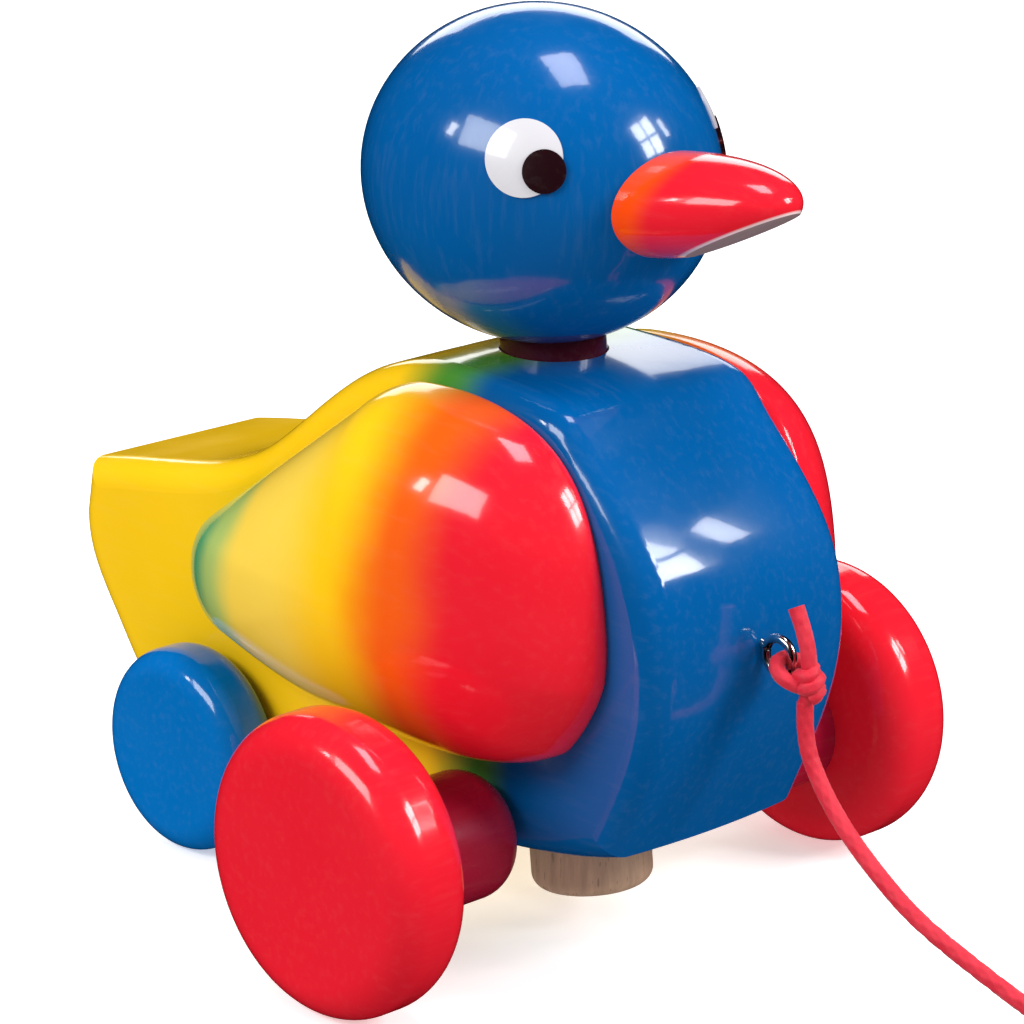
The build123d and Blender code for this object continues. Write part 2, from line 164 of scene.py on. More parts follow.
class DuckStage(bpy.types.PropertyGroup):
    """Studio round the duck."""

    floor_reach: length_setting("Floor reach", "Half width of the pale floor", 6.0, 0.5, 20.0)
    window_power: bpy.props.FloatProperty(
        name="Window power", description="Strength of the two big soft windows", default=6.6, min=0.0,
        unit="POWER"
    )
    ceiling_power: bpy.props.FloatProperty(
        name="Ceiling power", description="Strength of the soft light overhead", default=4.2, min=0.0,
        unit="POWER"
    )
    wall_power: bpy.props.FloatProperty(
        name="Wall power", description="Strength of the pale wall behind the duck", default=3.2, min=0.0,
        unit="POWER"
    )
    room_light: bpy.props.FloatProperty(
        name="Room light", description="Strength of the even light of the room", default=0.66, min=0.0
    )


# ---- surfaces from arrays -----------------------------------------------------------------------


def grid_faces(rows, columns, wrap_rows=False, wrap_columns=False):
    """Corner numbers of the quads between neighbouring points of a rows by columns grid, wrapped where
    asked."""
    last_row = rows if wrap_rows else rows - 1
    last_column = columns if wrap_columns else columns - 1
    row, column = np.meshgrid(np.arange(last_row), np.arange(last_column), indexing="ij")
    next_row = (row + 1) % rows
    next_column = (column + 1) % columns
    quads = [row * columns + column, row * columns + next_column,
             next_row * columns + next_column, next_row * columns + column]
    return np.stack([quad.ravel() for quad in quads], axis=1)


def put_mesh(name, shells, sharp_degrees=None):
    """One smooth object from several shells, each a (points, faces, uv or None), with doubled points merged
    and faces turned outwards."""
    points = np.concatenate([shell[0].reshape(-1, 3) for shell in shells])
    starts = np.cumsum([0] + [shell[0].reshape(-1, 3).shape[0] for shell in shells[:-1]])
    faces = np.concatenate([shell[1] + start for shell, start in zip(shells, starts)])
    mesh = bpy.data.meshes.new(name)
    mesh.from_pydata(points.tolist(), [], faces.tolist())
    if all(shell[2] is not None for shell in shells):
        uv = np.concatenate([shell[2].reshape(-1, 2) for shell in shells])
        corners = np.zeros(len(mesh.loops), np.int32)
        mesh.loops.foreach_get("vertex_index", corners)
        layer = mesh.uv_layers.new(name="UVMap")
        layer.data.foreach_set("uv", uv[corners].astype(np.float32).ravel())
    merge_and_turn_out(mesh)
    mesh.shade_smooth()
    if sharp_degrees is not None:
        mesh.set_sharp_from_angle(angle=math.radians(sharp_degrees))
    piece = bpy.data.objects.new(name, mesh)
    bpy.context.scene.collection.objects.link(piece)
    return piece


def merge_and_turn_out(mesh):
    """Merges doubled points, drops faces of no area and turns the rest outwards."""
    work = bmesh.new()
    work.from_mesh(mesh)
    bmesh.ops.remove_doubles(work, verts=work.verts, dist=1e-7)
    bmesh.ops.dissolve_degenerate(work, edges=work.edges, dist=1e-8)
    bmesh.ops.recalc_face_normals(work, faces=work.faces)
    work.to_mesh(mesh)
    work.free()


def unit(vectors):
    """Vectors scaled to a length of one."""
    return vectors / np.maximum(np.linalg.norm(vectors, axis=-1, keepdims=True), 1e-12)


def evenly(line, step):
    """The same line with its points a step apart, measured along it."""
    runs = np.linalg.norm(np.diff(line, axis=0), axis=1)
    travelled = np.concatenate([[0.0], np.cumsum(runs)])
    wanted = np.linspace(0, travelled[-1], max(2, int(round(travelled[-1] / step)) + 1))
    even = np.stack([np.interp(wanted, travelled, line[:, k]) for k in range(3)], axis=1)
    return even, wanted


def braid(line, radius, hint, cord, around=28, step=0.45 * MM, closed=False, flare=0.0):
    """A braided tube round a line. Each ring lies square to the line. A point is the ring's middle plus its
    direction times a radius that dips between the yarns: two families of yarns wind round in opposite ways,
    and the higher one of the two shows. hint is a direction, or one for each point, that the line never
    follows."""
    middles, travelled = evenly(line, step)
    if closed:
        middles = middles[:-1]
        travelled = travelled[:-1]
        forward = unit(np.roll(middles, -1, axis=0) - np.roll(middles, 1, axis=0))
    else:
        forward = unit(np.gradient(middles, axis=0))
    hints = hint(middles) if callable(hint) else np.broadcast_to(np.array(hint, float), middles.shape)
    side = unit(np.cross(hints, forward))
    other = np.cross(forward, side)
    angle = np.linspace(0, 2 * np.pi, around, endpoint=False)[None, :]
    wound = (2 * np.pi * travelled / cord.plait_pitch)[:, None]
    one_way = np.cos(cord.plaits / 2 * angle + wound) ** 2
    back_way = np.cos(cord.plaits / 2 * angle - wound) ** 2
    depth = cord.plait_relief * (1 - np.maximum(one_way, back_way))
    reach = radius - depth
    if flare:
        reach = reach * (1 + flare * np.exp(-(travelled[-1] - travelled) / (1.2 * MM)))[:, None]
    points = (middles[:, None, :] + reach[..., None] * (np.cos(angle)[..., None] * side[:, None, :]
              + np.sin(angle)[..., None] * other[:, None, :]))
    uv = np.stack(np.broadcast_arrays(angle / (2 * np.pi), travelled[:, None] / (2 * radius)), axis=-1)
    if not closed:
        ends = [np.repeat(middles[k][None, None], around, axis=1) for k in (0, -1)]
        points = np.concatenate([ends[0], points, ends[1]])
        uv = np.concatenate([uv[:1], uv, uv[-1:]])
    return points, grid_faces(len(points), around, wrap_rows=closed, wrap_columns=True), uv


def smooth_line(name, points, turns=24):
    """The line that a cord follows: a NURBS spline with the route's points as its control points."""
    curve = bpy.data.curves.new(name, "CURVE")
    curve.dimensions = "3D"
    curve.resolution_u = turns
    spline = curve.splines.new("NURBS")
    spline.points.add(len(points) - 1)
    spline.points.foreach_set("co", np.hstack([points, np.ones((len(points), 1))]).ravel())
    spline.order_u = 3
    spline.use_endpoint_u = True
    holder = bpy.data.objects.new(name, curve)
    bpy.context.scene.collection.objects.link(holder)
    bpy.context.view_layer.update()
    mesh = bpy.data.meshes.new_from_object(holder)
    line = np.zeros(len(mesh.vertices) * 3, np.float32)
    mesh.vertices.foreach_get("co", line)
    bpy.data.objects.remove(holder)
    bpy.data.curves.remove(curve)
    bpy.data.meshes.remove(mesh)
    return line.reshape(-1, 3).astype(float)


# ---- materials ----------------------------------------------------------------------------------


class Recipe:
    """A material under construction, with short calls for its nodes and links."""

    def __init__(self, name, roughness):
        self.material = bpy.data.materials.new(name)
        self.material.use_nodes = True
        self.tree = self.material.node_tree
        self.shader = self.tree.nodes["Principled BSDF"]
        self.shader.inputs["Roughness"].default_value = roughness
        self.places = self.tree.nodes.new("ShaderNodeTexCoord")

    def node(self, kind, **inputs):
        """A new node with its sockets set by name."""
        made = self.tree.nodes.new(kind)
        for key, value in inputs.items():
            made.inputs[key].default_value = value
        return made

    def link(self, source, target):
        """Joins two sockets."""
        self.tree.links.new(source, target)

    def mapped(self, scale=(1, 1, 1), source="Object"):
        """The place on the piece, stretched by a scale for each axis."""
        made = self.tree.nodes.new("ShaderNodeMapping")
        made.inputs["Scale"].default_value = scale
        self.link(self.places.outputs[source], made.inputs["Vector"])
        return made.outputs["Vector"]

    def noise(self, scale, detail=2.0, rough=0.5, vector=None):
        """A cloudy value from 0 to 1."""
        made = self.node("ShaderNodeTexNoise", Scale=scale, Detail=detail, Roughness=rough)
        self.link(vector or self.places.outputs["Object"], made.inputs["Vector"])
        return made.outputs["Fac"]

    def ranged(self, value, low, high, to_low, to_high):
        """A value moved from one range into another, and held inside it."""
        made = self.tree.nodes.new("ShaderNodeMapRange")
        for key, number in zip(("From Min", "From Max", "To Min", "To Max"), (low, high, to_low, to_high)):
            made.inputs[key].default_value = number
        self.link(value, made.inputs["Value"])
        return made.outputs["Result"]

    def maths(self, kind, first, second):
        """One sum on two values, each a number or a socket."""
        made = self.tree.nodes.new("ShaderNodeMath")
        made.operation = kind
        for socket, value in zip(made.inputs, (first, second)):
            if isinstance(value, (int, float)):
                socket.default_value = value
            else:
                self.link(value, socket)
        return made.outputs["Value"]

    def ramp(self, value, stops):
        """Colours along a value: each stop is a place from 0 to 1 and a colour."""
        made = self.tree.nodes.new("ShaderNodeValToRGB")
        band = made.color_ramp
        band.interpolation = "EASE"
        while len(band.elements) < len(stops):
            band.elements.new(0.5)
        for element, (place, colour) in zip(band.elements, stops):
            element.position = place
            element.color = (*colour, 1.0)
        self.link(value, made.inputs["Fac"])
        return made.outputs["Color"]

    def mixed(self, share, first, second):
        """The first colour with a share of the second."""
        made = self.tree.nodes.new("ShaderNodeMix")
        made.data_type = "RGBA"
        made.clamp_result = True
        for socket, value in ((made.inputs[0], share), (made.inputs[6], first), (made.inputs[7], second)):
            if isinstance(value, (int, float)):
                socket.default_value = value
            elif isinstance(value, (tuple, list)):
                socket.default_value = (*value, 1.0)
            else:
                self.link(value, socket)
        return made.outputs[2]

    def bump(self, height, depth, strength=1.0):
        """Fine relief from a height of 0 to 1, on top of any relief that is there."""
        made = self.tree.nodes.new("ShaderNodeBump")
        made.inputs["Strength"].default_value = strength
        made.inputs["Distance"].default_value = depth
        self.link(height, made.inputs["Height"])
        if self.shader.inputs["Normal"].is_linked:
            self.link(self.shader.inputs["Normal"].links[0].from_socket, made.inputs["Normal"])
        self.link(made.outputs["Normal"], self.shader.inputs["Normal"])


def lacquer(name, colour_of, grain=(0.12, 1.0, 1.0), gloss=0.14, peel=1.0):
    """Sprayed lacquer on smooth wood: a clear coat, faint grain that shows through, a soft orange peel and a
    slightly uneven colour. colour_of takes the recipe and returns a colour or a socket of one."""
    made = Recipe(name, gloss)
    shader = made.shader
    shader.inputs["Coat Weight"].default_value = 0.42
    shader.inputs["Coat Roughness"].default_value = 0.045
    shader.inputs["Specular IOR Level"].default_value = 0.32
    colour = colour_of(made)
    cloud = made.ranged(made.noise(22.0, 3.0), 0.3, 0.7, 0.0, 0.07)
    deeper = made.mixed(cloud, colour, (0.0, 0.0, 0.0))
    streak = made.noise(620.0, 3.0, 0.6, made.mapped(scale=grain))
    pale = made.ranged(streak, 0.5, 0.8, 0.0, 0.012)
    made.link(made.mixed(pale, deeper, (1.0, 0.95, 0.85)), shader.inputs["Base Color"])
    dulled = made.ranged(made.noise(55.0, 3.0), 0.3, 0.7, gloss * 0.75, gloss * 1.5)
    made.link(dulled, shader.inputs["Roughness"])
    made.bump(streak, 0.03 * MM, 0.10)
    made.bump(made.noise(190.0, 1.0), 0.05 * MM * peel, 0.22)
    return made.material


def plain(colour):
    """A colour chooser for a lacquer of one colour."""
    def choose(recipe):
        return tuple(colour)
    return choose


BODY_BAND = (-26.0 * MM, 14.0 * MM)     # from all yellow to all blue, ahead of the front axle
BODY_BAND_SLANT = 0.107                 # how far the band leans back for each unit of height
WING_BAND = (-80.0 * MM, 20.0 * MM)     # from the teal tip to the red front, ahead of the front axle
BEAK_BAND = (1.0 * MM, 10.0 * MM)       # from orange to red, ahead of the beak's root
BEAK_BAND_SLANT = -0.35
# The flat below the beak, which carries the painted reflection of the floor:
BEAK_FLAT_TILT = 27.0                   # degrees, of the flat sawn below the beak
BEAK_FLAT_AHEAD = 42.5 * MM             # a point on that flat, from the middle of the head
BEAK_FLAT_DROP = 8.4 * MM


def body_spray(colours):
    """Blue sprayed from the front over yellow, green where they meet, along a slanting band with a soft
    edge."""
    def choose(recipe):
        apart = recipe.tree.nodes.new("ShaderNodeSeparateXYZ")
        recipe.link(recipe.mapped(), apart.inputs["Vector"])
        slant = recipe.maths("MULTIPLY", apart.outputs["Z"], BODY_BAND_SLANT)
        slanted = recipe.maths("ADD", apart.outputs["X"], slant)
        edge = recipe.ranged(recipe.noise(30.0, 4.0), 0.3, 0.7, -0.003, 0.003)
        place = recipe.maths("ADD", slanted, edge)
        start, stop = (FRONT_AXLE.x + limit for limit in BODY_BAND)
        spread = recipe.ranged(place, start, stop, 0.0, 1.0)
        stops = [(0.0, colours.yellow), (0.22, colours.yellow), (0.62, colours.green),
                 (0.90, colours.blue), (1.0, colours.blue)]
        return recipe.ramp(spread, stops)
    return choose


def wing_spray(colours):
    """Along a wing from its tip: teal, green, pale yellow, yellow, orange and red."""
    def choose(recipe):
        apart = recipe.tree.nodes.new("ShaderNodeSeparateXYZ")
        recipe.link(recipe.mapped(), apart.inputs["Vector"])
        edge = recipe.ranged(recipe.noise(36.0, 4.0), 0.3, 0.7, -0.002, 0.002)
        place = recipe.maths("ADD", apart.outputs["X"], edge)
        start, stop = (FRONT_AXLE.x + limit for limit in WING_BAND)
        spread = recipe.ranged(place, start, stop, 0.0, 1.0)
        stops = [(0.0, colours.teal), (0.09, colours.teal), (0.18, colours.leaf),
                 (0.29, colours.pale_yellow), (0.42, colours.pale_yellow),
                 (0.60, colours.yellow), (0.79, colours.orange), (0.92, colours.red)]
        return recipe.ramp(spread, stops)
    return choose


def beak_spray(colours):
    """Orange at the root of the beak and red ahead of it, by the distance ahead of the root, and a pale
    painted reflection of the floor on the flat that is sawn below, by the height above that flat."""
    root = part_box("beak")[0].x
    head = middle_of("head")
    tilt = math.radians(BEAK_FLAT_TILT)
    across_flat = Vector((-math.sin(tilt), 0.0, math.cos(tilt)))
    on_flat = Vector((head.x + BEAK_FLAT_AHEAD, 0.0, head.z - BEAK_FLAT_DROP))

    def choose(recipe):
        apart = recipe.tree.nodes.new("ShaderNodeSeparateXYZ")
        recipe.link(recipe.mapped(), apart.inputs["Vector"])
        rise = recipe.maths("MULTIPLY", apart.outputs["Z"], BEAK_BAND_SLANT)
        slanted = recipe.maths("ADD", apart.outputs["X"], rise)
        start = root + BEAK_BAND_SLANT * middle_of("beak").z
        spread = recipe.ranged(slanted, start + BEAK_BAND[0], start + BEAK_BAND[1], 0.0, 1.0)
        stops = [(0.0, colours.beak_root), (0.3, colours.beak_root), (1.0, colours.red)]
        sprayed = recipe.ramp(spread, stops)
        along_x = recipe.maths("MULTIPLY", apart.outputs["X"], across_flat.x)
        along_z = recipe.maths("MULTIPLY", apart.outputs["Z"], across_flat.z)
        height = recipe.maths("ADD", along_x, along_z)
        above = recipe.maths("SUBTRACT", height, across_flat.dot(on_flat))
        # pale: share of the painted reflection of the floor on the flat under the beak
        pale = recipe.ranged(above, 0.15 * MM, 0.5 * MM, 1.0, 0.0)
        return recipe.mixed(pale, sprayed, tuple(colours.beak_under_painted_reflection))
    return choose


def bare_wood(name, colour, along=(1.0, 1.0, 0.08)):
    """Bare beech: fine grain lines along one axis, short dark flecks and a dull surface."""
    made = Recipe(name, 0.55)
    streak = made.noise(700.0, 4.0, 0.65, made.mapped(scale=along))
    broad = made.noise(140.0, 3.0, 0.5, made.mapped(scale=along))
    flecks = made.noise(1500.0, 1.0, 0.5, made.mapped(scale=(along[0], along[1], along[2] * 2.2)))
    dark = tuple(part * 0.55 for part in colour)
    base = made.mixed(made.ranged(streak, 0.35, 0.7, 0.0, 0.6), tuple(colour), dark)
    base = made.mixed(made.ranged(broad, 0.3, 0.7, 0.0, 0.35), base, dark)
    base = made.mixed(made.ranged(flecks, 0.66, 0.72, 0.0, 0.6), base, tuple(part * 0.3 for part in colour))
    made.link(base, made.shader.inputs["Base Color"])
    made.link(made.ranged(broad, 0.3, 0.7, 0.45, 0.65), made.shader.inputs["Roughness"])
    made.bump(streak, 0.08 * MM, 0.5)
    return made.material


def bright_metal(name):
    """Nickel plate with fine drawing marks and a few dull spots."""
    made = Recipe(name, 0.16)
    made.shader.inputs["Metallic"].default_value = 1.0
    spots = made.ranged(made.noise(900.0, 3.0), 0.45, 0.7, 0.0, 0.5)
    made.link(made.mixed(spots, (0.78, 0.76, 0.74), (0.50, 0.48, 0.46)), made.shader.inputs["Base Color"])
    made.link(made.ranged(made.noise(600.0, 4.0), 0.3, 0.7, 0.08, 0.26), made.shader.inputs["Roughness"])
    made.bump(made.noise(1600.0, 2.0), 0.02 * MM, 0.4)
    return made.material


def moulded_plastic(name, colour):
    """Moulded plastic of a washer: a fine dull skin."""
    made = Recipe(name, 0.4)
    shade = made.ranged(made.noise(120.0, 3.0), 0.3, 0.7, 0.0, 0.15)
    made.link(made.mixed(shade, tuple(colour), (0.0, 0.0, 0.0)), made.shader.inputs["Base Color"])
    made.link(made.ranged(made.noise(300.0, 2.0), 0.3, 0.7, 0.32, 0.48), made.shader.inputs["Roughness"])
    made.bump(made.noise(1500.0, 2.0), 0.02 * MM, 0.3)
    return made.material


def braided_yarn(name, colour):
    """Dyed braid: each yarn shows fine fibres, darker in the grooves, with a soft sheen."""
    made = Recipe(name, 0.62)
    made.shader.inputs["Sheen Weight"].default_value = 0.15
    made.shader.inputs["Sheen Roughness"].default_value = 0.4
    fibre = made.noise(9.0, 5.0, 0.7, made.mapped(scale=(7.0, 1.0, 1.0), source="UV"))
    mottle = made.noise(260.0, 3.0)
    dark = tuple(part * 0.55 for part in colour)
    base = made.mixed(made.ranged(fibre, 0.4, 0.7, 0.0, 0.55), tuple(colour), dark)
    base = made.mixed(made.ranged(mottle, 0.4, 0.8, 0.0, 0.2), base, (1.0, 0.12, 0.15))
    made.link(base, made.shader.inputs["Base Color"])
    made.link(made.ranged(mottle, 0.3, 0.7, 0.5, 0.75), made.shader.inputs["Roughness"])
    made.bump(fibre, 0.12 * MM, 0.6)
    return made.material


def dress(node, material):
    """Gives a frame node a finish in every one of its material slots."""
    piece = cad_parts[node]
    if not piece.data.materials:
        piece.data.materials.append(material)
    for index in range(len(piece.data.materials)):
        piece.data.materials[index] = material
    return piece


def finish_piece(piece, material, body, slot, *nodes):
    """Gives a new piece its finish and its body, and hides the frame nodes that it stands for."""
    piece.data.materials.append(material)
    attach(piece, body)
    if nodes:
        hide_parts(*nodes)
    return piece


# ---- cord ---------------------------------------------------------------------------------------



def ahead(x, y, z):
    """A place in metres from millimetres: x ahead of the front axle, y to the duck's left and z up from the
    floor."""
    return (FRONT_AXLE.x + x * MM, y * MM, z * MM)


CORD_EXIT = ahead(57.2, 0.0, 62.0)
CORD_ROUTE = [
    CORD_EXIT,
    ahead(57.0, 0.0, 54.4),
    ahead(61.5, 0.3, 46.0),
    ahead(68.7, -0.4, 39.4),
    ahead(77.4, -0.6, 33.2),
    ahead(87.6, -1.0, 27.6),
    ahead(99.9, 1.0, 21.8),
    ahead(113.5, 4.4, 15.2),
    ahead(128.0, 8.4, 8.3),
    ahead(143.0, 11.4, 3.4),
    ahead(158.0, 11.0, 1.65),
    ahead(171.5, 12.6, 1.65),
]
COIL_MIDDLE = ahead(180.0, 33.0, 0.0)
LOOP_DROOP = math.radians(22.0)         # the loop hangs forward and down from the ring
LOOP_RADIUS = 3.6 * MM
LOOP_AHEAD = 4.45 * MM                  # middle of the loop from the middle of the ring
LOOP_SAG = 0.8 * MM
KNOT_AHEAD = 8.6 * MM                   # the knot from the middle of the ring
TAIL_LEAN = math.radians(16.0)          # the cut end leans back from upright
TAIL_LENGTH = 14.6 * MM
TAIL_BEND = 1.1 * MM
STUB_REACH = (-5.2, 0.5, -1.4)          # the cut end at the far knot, in millimetres


def coil_points():
    """The put-away length as points round the coil, from where the cord arrives. Degrees go round, and the
    radius and the height run straight from one stop to the next: outer turn, inner turn, up, inner turn,
    outer turn and out to the knot."""
    degrees = np.arange(-75.0, 1171.0, 15.0)
    radius = np.interp(degrees, [-75, 225, 285, 815, 875, 1110, 1170],
                       [18.1, 18.1, 14.7, 14.7, 18.1, 18.1, 21.6]) * MM
    height = np.interp(degrees, [-75, 515, 585, 1110, 1170], [1.65, 1.65, 5.0, 5.0, 3.3]) * MM
    angle = np.radians(degrees)
    x = COIL_MIDDLE[0] + radius * np.cos(angle)
    y = COIL_MIDDLE[1] + radius * np.sin(angle)
    return np.stack([x, y, height], axis=1)


def cord_hint(middles):
    """A direction that the cord never follows: sideways where it hangs, and up where it lies."""
    share = np.clip((middles[:, 0] - FRONT_AXLE.x - 74.0 * MM) / 0.05, 0, 1)
    lying = (share * share * (3 - 2 * share))[:, None]
    return (1 - lying) * np.array([0.0, 1.0, 0.0]) + lying * np.array([0.0, 0.0, 1.0])


def knot_shell(middle, axis, cord, turns=2.3, wrap=1.75 * MM):
    """A knot as a short tight winding: the line goes round the axis while it climbs, and its radius swells
    in the middle."""
    axis = unit(np.array(axis, float))
    helper = np.array([0.0, 1.0, 0.0]) if abs(axis[1]) < 0.9 else np.array([1.0, 0.0, 0.0])
    side = unit(np.cross(helper, axis))
    other = np.cross(axis, side)
    along = np.linspace(-1, 1, 90)
    angle = along * np.pi * turns
    swell = wrap * (1.0 - 0.45 * along**4)
    rise = 2.35 * MM * along + 0.35 * MM * np.sin(2 * angle)
    line = (np.array(middle, float) + rise[:, None] * axis
            + swell[:, None] * (np.cos(angle)[:, None] * side + np.sin(angle)[:, None] * other))
    return braid(line, 0.47 * cord.thickness, axis, cord, around=20)


def make_cord():
    """The braided cord from its knot to its coil, the loop with its knot and cut end, and the far knot."""
    cord = bpy.context.scene.duck_cord
    yarn = braided_yarn("duck_cord_braid", bpy.context.scene.duck_colours.cord)
    route = np.concatenate([np.array(CORD_ROUTE), coil_points()])
    line = smooth_line("cord_route", route)
    main = put_mesh("pull_cord_braid", [braid(line, cord.thickness / 2, cord_hint, cord)])
    finish_piece(main, yarn, "duck_body", "red_cord", "pull_cord", "cord_coil")

    ring_middle = screw_ring_middle()
    away = np.array([math.cos(LOOP_DROOP), 0.0, -math.sin(LOOP_DROOP)])
    knot = ring_middle + KNOT_AHEAD * away
    angle = np.linspace(0, 2 * np.pi, 73)
    across = LOOP_RADIUS * np.sin(angle)
    reach = LOOP_AHEAD - LOOP_RADIUS * np.cos(angle)
    sag = -LOOP_SAG * np.sin(angle / 2) ** 2
    loop = (ring_middle + reach[:, None] * away + across[:, None] * np.array([0.0, 1.0, 0.0])
            + sag[:, None] * np.array([0.0, 0.0, 1.0]))
    normal = np.cross(away, [0.0, 1.0, 0.0])
    loop_shell = braid(loop, 0.47 * cord.thickness, normal, cord, around=20, closed=True)
    climb = np.linspace(0, 1, 40)
    bend = TAIL_BEND * np.sin(np.pi * climb)
    tail_up = np.array([-math.sin(TAIL_LEAN), 0.0, math.cos(TAIL_LEAN)])
    tail = (knot + (TAIL_LENGTH * climb)[:, None] * tail_up
            + bend[:, None] * np.array([1.0, 0.0, 0.0]))
    tail_shell = braid(tail, 0.48 * cord.thickness, [0.0, 1.0, 0.0], cord, around=20, flare=0.06)
    into_cord = np.array(CORD_EXIT) - np.array([0.0, 0.0, 1.5 * MM])
    joining = knot + climb[:, None] * (into_cord - knot)
    joining_shell = braid(joining, 0.47 * cord.thickness, [0.0, 1.0, 0.0], cord, around=20)
    shells = [loop_shell, tail_shell, joining_shell, knot_shell(knot, tail_up, cord)]
    tied = put_mesh("cord_loop_and_knot", shells, 60)
    finish_piece(tied, yarn, "duck_body", "red_cord", "cord_loop")

    end = middle_of("cord_end_knot")
    stub_line = np.array(end) + np.linspace(0, 1, 12)[:, None] * np.array(STUB_REACH) * MM
    stub = braid(stub_line, 0.47 * cord.thickness, [0.0, 0.0, 1.0], cord, around=20, flare=0.05)
    far = put_mesh("cord_far_knot", [knot_shell(end, (1.0, 0.0, 0.0), cord, 1.9, 1.6 * MM), stub], 60)
    finish_piece(far, yarn, "duck_body", "red_cord", "cord_end_knot")


# ---- screw eye ----------------------------------------------------------------------------------

RING_REACH = 4.4 * MM                   # half the ring's outside size
EYE_WIRE_RADIUS = 0.95 * MM
EYE_TILT = math.radians(18.0)           # the shank droops forward
SHANK_LENGTH = 15.2 * MM
THREAD_PITCH = 1.1 * MM
THREAD_DEPTH = 0.17 * MM


def screw_ring_middle():
    """The middle of the screw eye's ring: half the ring's size inside the front and the foot of the node's
    box, because the shank climbs into the breast."""
    low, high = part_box("screw_eye")
    return np.array([high.x - RING_REACH, 0.0, low.z + RING_REACH])


def make_screw_eye():
    """A plated wire: a straight shank with a thread, and an almost closed ring bent in its end."""
    metal = bright_metal("duck_bright_metal")
    out = np.array([math.cos(EYE_TILT), 0.0, -math.sin(EYE_TILT)])
    up = np.array([math.sin(EYE_TILT), 0.0, math.cos(EYE_TILT)])
    ring_radius = RING_REACH - EYE_WIRE_RADIUS
    middle = screw_ring_middle()
    angle = np.linspace(math.radians(176), math.radians(-172), 100)
    ring_line = middle + ring_radius * (np.cos(angle)[:, None] * out + np.sin(angle)[:, None] * up)
    ring = wire_tube(ring_line, np.full(100, EYE_WIRE_RADIUS), [0.0, 1.0, 0.0])
    along = np.linspace(0, 1, 260)
    shank_end = middle - ring_radius * out
    shank_line = shank_end - (SHANK_LENGTH * along)[:, None] * out
    threaded = np.clip((along - 0.16) * 8, 0, 1)
    taper = 1 - 0.75 * np.clip((along - 0.8) / 0.2, 0, 1)
    wound = np.cos(2 * np.pi * SHANK_LENGTH * along / THREAD_PITCH)
    ridge = THREAD_DEPTH * threaded * (wound - 1) / 2
    shank = wire_tube(shank_line, (EYE_WIRE_RADIUS + ridge) * taper, [0.0, 1.0, 0.0])
    piece = put_mesh("screw_eye_wire", [ring, shank], 50)
    finish_piece(piece, metal, "duck_body", "bright_metal", "screw_eye")


def wire_tube(line, radii, hint, around=24):
    """A round bar along a line, with a radius for each of its points and closed, slightly rounded ends."""
    forward = unit(np.gradient(line, axis=0))
    side = unit(np.cross(np.broadcast_to(np.array(hint, float), line.shape), forward))
    other = np.cross(forward, side)
    angle = np.linspace(0, 2 * np.pi, around, endpoint=False)[None, :, None]
    rings = np.cos(angle) * side[:, None, :] + np.sin(angle) * other[:, None, :]
    points = line[:, None, :] + radii[:, None, None] * rings
    first = line[0][None, None] - 0.3 * radii[0] * forward[0] + 0.6 * radii[0] * rings[:1]
    last = line[-1][None, None] + 0.3 * radii[-1] * forward[-1] + 0.6 * radii[-1] * rings[-1:]
    start = np.repeat((line[0] - 0.35 * radii[0] * forward[0])[None, None], around, axis=1)
    stop = np.repeat((line[-1] + 0.35 * radii[-1] * forward[-1])[None, None], around, axis=1)
    points = np.concatenate([start, first, points, last, stop])
    return points, grid_faces(len(points), around, wrap_columns=True), None


# ---- wings --------------------------------------------------------------------------------------


def rim_reach(node, middle, angles):
    """Distance of a wing's outline from its middle at each angle in the side view. The outline is rounded
    outwards everywhere, so it is held between its tangents: for each direction the farthest corner sets how
    far off the tangent square to it lies, and a ray from the middle ends at the first tangent it meets."""
    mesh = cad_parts[node].data
    corners = np.zeros(len(mesh.vertices) * 3, np.float32)
    mesh.vertices.foreach_get("co", corners)
    corners = corners.reshape(-1, 3)[:, [0, 2]].astype(float) - middle
    square = np.linspace(-np.pi, np.pi, 1440, endpoint=False)
    tangent = (corners @ np.stack([np.cos(square), np.sin(square)])).max(axis=0)
    facing = np.cos(angles[:, None] - square[None, :])
    meeting = np.where(facing > 0.05, tangent[None, :] / np.maximum(facing, 0.05), np.inf)
    return meeting.min(axis=1)


def make_wings():
    """Both wings. A point lies at an angle round the wing's middle and at a share of the way to its rim.
    Its height above a low foot is the rest of the thickness times the square root of one less the share to
    the power of the fullness, close to a half ellipse. The foot draws back where it meets the body, which
    leaves the thin shadow line of a glued joint."""
    wings = bpy.context.scene.duck_wings
    paint = lacquer("duck_wing_lacquer", wing_spray(bpy.context.scene.duck_colours))
    middle = np.array([FRONT_AXLE.x - wings.middle_behind, wings.middle_rise])
    thickness = across_of("right_wing").y
    angles = np.linspace(-np.pi, np.pi, 240, endpoint=False)
    reach = rim_reach("right_wing", middle, angles)
    share = np.sin(np.linspace(0, np.pi / 2, 56))[:, None]
    radial = share * reach[None, :]
    x = radial * np.cos(angles)
    z = radial * np.sin(angles)
    dome = np.sqrt(1 - share**wings.fullness) * np.ones_like(radial)
    height = wings.foot + (thickness - wings.foot) * dome
    top = np.stack([x + middle[0], -(BODY_SIDE + height), z + middle[1]], axis=2)
    drawn = (reach - wings.shadow_gap)[None, :] * np.array([[1.0], [0.6], [0.0]])
    foot_x = drawn * np.cos(angles) + middle[0]
    foot_z = drawn * np.sin(angles) + middle[1]
    under = np.stack([foot_x, np.full_like(foot_x, -BODY_SIDE), foot_z], axis=2)
    points = np.concatenate([top, under])
    faces = grid_faces(len(points), len(angles), wrap_columns=True)
    for side, name in ((1, "right"), (-1, "left")):
        placed = points * np.array([1.0, side, 1.0])
        piece = put_mesh(f"{name}_wing_dome", [(placed, faces, None)], 55)
        finish_piece(piece, paint, "duck_body", "wing_lacquer", f"{name}_wing")


